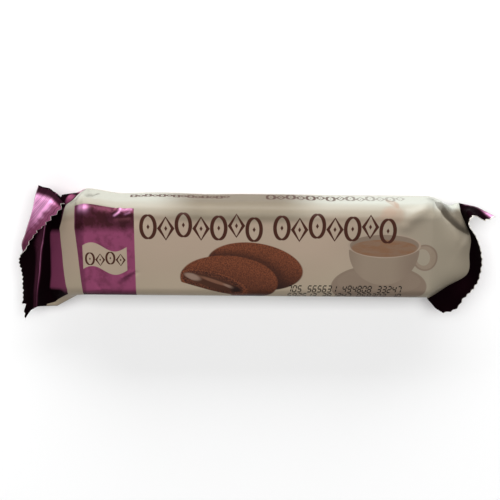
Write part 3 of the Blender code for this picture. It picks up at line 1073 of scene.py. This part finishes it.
def lay_ground(pen):
    """The cream ground with its random mottling, and painted shade and painted sheen where the film's sides
    turn from or to the light.
    """
    along, around = pen.along, pen.around
    # The middle stretch, where the upper side and its rounded edge get darker painted shade
    middle = pen.strip(along, -40, 22, 13)
    # A faint band of painted shade where the face starts to round into the upper side
    pen.lay(pen.times(pen.strip(around, 16.6, 18.8, 1.3), 0.3), CREAM_DIM)
    # Painted shade on the rounded edge into the upper side, deeper along the middle
    past_turn = pen.minus(around, pen.scaled(middle, UPPER_TURN_DROP, UPPER_TURN))
    past_turn = pen.step(past_turn, -UPPER_TURN_SOFT, UPPER_TURN_SOFT)
    pen.lay(past_turn, pen.mix(middle, CREAM_EDGE_SHADE, CREAM_DIM))
    pen.lay(pen.ramp(around, 33, 40), CREAM)
    # Random mottling of the cream, and painted shade that darkens the face towards the bottom
    low = pen.rest(pen.ramp(around, -22, 4))
    pen.lay(pen.scaled(pen.cloud, 0.4, pen.times(low, 0.5)), CREAM_LOW)
    # Painted shade, in a cooler tone, over the face's right end
    pen.lay(pen.times(pen.ramp(along, 30, 88), 0.85), CREAM_COOL_SHADE)
    # Painted sheen on the upper side's ends, brighter to the right, and painted shade in its middle
    upper = pen.strip(around, 25, 40, 4)
    sheen = pen.mix(pen.ramp(along, 20, 55), CREAM_SHEEN, CREAM_SHEEN_RIGHT)
    pen.lay(upper, pen.mix(middle, sheen, CREAM_SHADE))


def print_rows(pen):
    """The rows of marks and numbers, and the ruled lines on the back."""
    for *places, stroke in TITLES:
        pen.lay(pen.marks(places, stroke), BROWN)
    faded = pen.minus(0.95, pen.times(pen.ramp(pen.along, 25, 65), 0.5))
    for *places, stroke in SMALL_ROWS:
        pen.lay(pen.times(pen.marks(places, stroke), faded), BROWN)
    away = pen.size(pen.around)
    rules = pen.step(pen.math("COSINE", pen.times(away, 2 * math.pi / RULE_PITCH)), 0.55, 0.75)
    rules = pen.times(rules, pen.strip(away, *RULES_AROUND, CRISP))
    first, second = (pen.strip(pen.along, *column, CRISP) for column in RULE_COLUMNS)
    pen.lay(pen.times(rules, pen.plus(first, second), 0.8), BROWN)
    for *places, seed in NUMBER_ROWS:
        pen.lay(pen.row("numbers", *places, Seed=seed), INK)


def purple_fields(pen):
    """The masks of the two purple ends, and of them and the label with its badge left out."""
    along, around = pen.along, pen.around
    left_end, right_end = pen.rest(pen.crisp(along, STRIPE_START)), pen.crisp(along, RIGHT_START)
    after = pen.crisp(pen.scaled(around, LABEL_LEAN, along), LABEL_START)
    before = pen.rest(pen.crisp(along, LABEL_END))
    wave = pen.math("COSINE", pen.times(pen.plus(along, WAVE_START), 2 * math.pi / WAVE_LENGTH))
    waved = pen.scaled(wave, WAVE_HEIGHT, around)
    badge = pen.times(pen.strip(along, *BADGE_ALONG, PRINT_EDGE), pen.strip(waved, *BADGE_AROUND, PRINT_EDGE))
    upright = pen.strip(around, *LABEL_SIDES, PRINT_EDGE)
    label = pen.times(after, before, upright, pen.rest(badge))
    ends = pen.plus(left_end, right_end, clamp=True)
    return ends, pen.plus(ends, label, clamp=True)


def purple_print(pen, ends, rib):
    """The purple of the ends and the label, with its random blotches, painted shade in a band across the
    label and in streaks along the crimped ribs, painted glints, and the seals' dark with painted shade.
    """
    around, ribs_passed = pen.around, pen.ribs_passed
    # Painted shade in irregular streaks along the crimp's ribs
    crushed = pen.noise(pen.joined(ribs_passed, pen.times(around, 45.0)), 0.9, 3, 0.6)
    streaks = pen.times(pen.step(crushed, 0.4, 0.66), ends, pen.step(ribs_passed, 0.0, 0.5))
    blotch_and_shade = pen.step(pen.noise(pen.place, 130, 4, 0.6), 0.42, 0.68)
    blotch_and_shade = pen.times(blotch_and_shade, pen.step(pen.cloud, 0.28, 0.55))
    # A band of painted shade across the label's upper part
    upper = pen.scaled(pen.ramp(around, 19, 21.5), -0.15, 0.88)
    upper = pen.times(upper, pen.ramp(around, 9.5, 14.5))
    blotch_and_shade = pen.scaled(blotch_and_shade, 0.45, upper, clamp=True)
    blotch_and_shade = pen.times(blotch_and_shade, pen.step(pen.along, LABEL_START - 2 * MM, LABEL_START))
    # Painted glints over the blotched purple
    printed = pen.mix(pen.pink, pen.mix(blotch_and_shade, PURPLE, PURPLE_DEEP), PINK_GLINT)
    # Painted shade of the ribs and their streaks
    printed = pen.mix(pen.scaled(rib, 0.08, pen.times(streaks, 0.5)), printed, PURPLE_DEEP)
    # The seals' dark, and painted shade, over the print
    return pen.mix(pen.dark, printed, PURPLE_DARK)


def lap_masks(pen):
    """The seam along the back, and its bare edge."""
    from_back = pen.minus(HALF_ROUND, pen.size(pen.around))
    across_back = pen.times(pen.math("SIGN", pen.around), from_back)
    start, end = LAP_OFFSET - LAP_WIDTH / 2, LAP_OFFSET + LAP_WIDTH / 2
    lap = pen.between(across_back, start, end, PRINT_EDGE * MM)
    lap = pen.times(lap, pen.step(pen.size(pen.around), QUARTER, QUARTER + 2 * MM))
    return lap, pen.times(lap, pen.step(across_back, end - LAP_EDGE, end))


def film_material():
    """Satin printed film: cream ground, purple metallised ends and label, and the print on the face."""
    material = bpy.data.materials.new("printed_film")
    material.use_nodes = True
    pen = Print(material.node_tree)
    inputs = material.node_tree.nodes["Principled BSDF"].inputs
    lay_ground(pen)
    print_cup(pen)
    print_cookies(pen)
    print_rows(pen)
    ends, purple = purple_fields(pen)
    rib = pen.times(pen.math("SINE", pen.times(pen.ribs_passed, 2 * math.pi)), ends)
    # Painted shade and painted light of the folds on the cream
    pen.lay(pen.times(pen.shaded, 0.85, clamp=True), CREAM_CREASE_SHADE)
    pen.lay(pen.times(pen.shaded, -1.0, clamp=True), CREAM_CREASE_LIGHT)
    pen.lay(purple, purple_print(pen, ends, rib))
    pen.lay(pen.marks(BADGE_ROW[:-1], BADGE_ROW[-1]), BROWN)
    pen.lay(pen.rest(pen.step(pen.cut, *BARE_EDGE)), SILVER)
    lap, lap_edge = lap_masks(pen)
    pen.lay(pen.times(lap_edge, pen.rest(ends)), SILVER)
    pen.put(inputs["Base Color"], pen.colour)

    inputs["Specular IOR Level"].default_value = 0.2
    metal = pen.scaled(pen.dark, 0.5, pen.scaled(pen.pink, -0.35, 0.5), clamp=True)
    pen.put(inputs["Metallic"], pen.times(purple, metal))
    rough = pen.scaled(pen.cloud, 0.12, 0.4)
    rough = pen.scaled(pen.times(pen.dark, purple), 0.4, rough)
    pen.put(inputs["Roughness"], pen.scaled(purple, -0.1, rough))
    crimp = pen.times(pen.math("SINE", pen.times(pen.along, 2 * math.pi / RIB_PITCH)), lap, 0.25)
    crinkle = pen.noise(pen.place, 160, 5, 0.6)
    bump = pen.add("ShaderNodeBump")
    bump.inputs["Strength"].default_value = 0.35
    bump.inputs["Distance"].default_value = 0.1 * MM
    pen.put(bump.inputs["Height"], pen.plus(crinkle, pen.scaled(rib, 0.3, crimp)))
    pen.put(inputs["Normal"], bump.outputs[0])
    return material


# The soft lights, which face the pack: place, size and power
LAMPS = {
    "window": ((0, 2.9, 0.6), (3.0, 1.1), 132),
    "ceiling": ((0, 1.1, 2.2), (3.0, 1.2), 60),
    "wall": ((0, -1.6, 2.4), (5.0, 3.0), 24),
}
STUDIO_LIGHT = 0.08

# The photograph's view
EYE_TILT = math.radians(22)
EYE_ROLL = math.radians(0.5)
EYE_DISTANCE = 560.0 * MM
AIM = Vector((-3.6 * MM, -2.4 * MM, 11.0 * MM)) - Vector((*MIDDLE_OF_ALL, 0))
LENS = 83.0
SENSOR = 36


def make_floor():
    bpy.ops.mesh.primitive_plane_add(size=6)
    floor = bpy.context.object
    floor.name = "floor"
    paint = bpy.data.materials.new("floor")
    paint.use_nodes = True
    inputs = paint.node_tree.nodes["Principled BSDF"].inputs
    inputs["Base Color"].default_value = (0.9, 0.9, 0.9, 1)
    inputs["Roughness"].default_value = 0.9
    floor.data.materials.append(paint)


def make_lights():
    for name, (place, size, power) in LAMPS.items():
        data = bpy.data.lights.new(name, "AREA")
        data.shape = "RECTANGLE"
        data.size, data.size_y = size
        data.energy = power
        lamp = bpy.data.objects.new(name, data)
        lamp.location = place
        lamp.rotation_euler = (-Vector(place)).to_track_quat("-Z", "Y").to_euler()
        bpy.context.collection.objects.link(lamp)
    world = bpy.data.worlds.new("studio")
    world.use_nodes = True
    background = world.node_tree.nodes["Background"].inputs
    background["Color"].default_value = (1, 1, 1, 1)
    background["Strength"].default_value = STUDIO_LIGHT
    bpy.context.scene.world = world


def make_camera():
    data = bpy.data.cameras.new("camera")
    data.sensor_width = SENSOR
    data.lens = LENS
    camera = bpy.data.objects.new("camera", data)
    turn = Matrix.Rotation(-EYE_TILT, 4, "X") @ Matrix.Rotation(EYE_ROLL, 4, "Z")
    camera.matrix_world = Matrix.Translation(AIM) @ turn @ Matrix.Translation((0, 0, EYE_DISTANCE))
    bpy.context.collection.objects.link(camera)
    bpy.context.scene.camera = camera
    bpy.context.scene.view_settings.view_transform = "Standard"


film = make_film()
film.data.materials.append(film_material())
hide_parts("wrapper")
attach(film, "root")
make_floor()
make_lights()
make_camera()
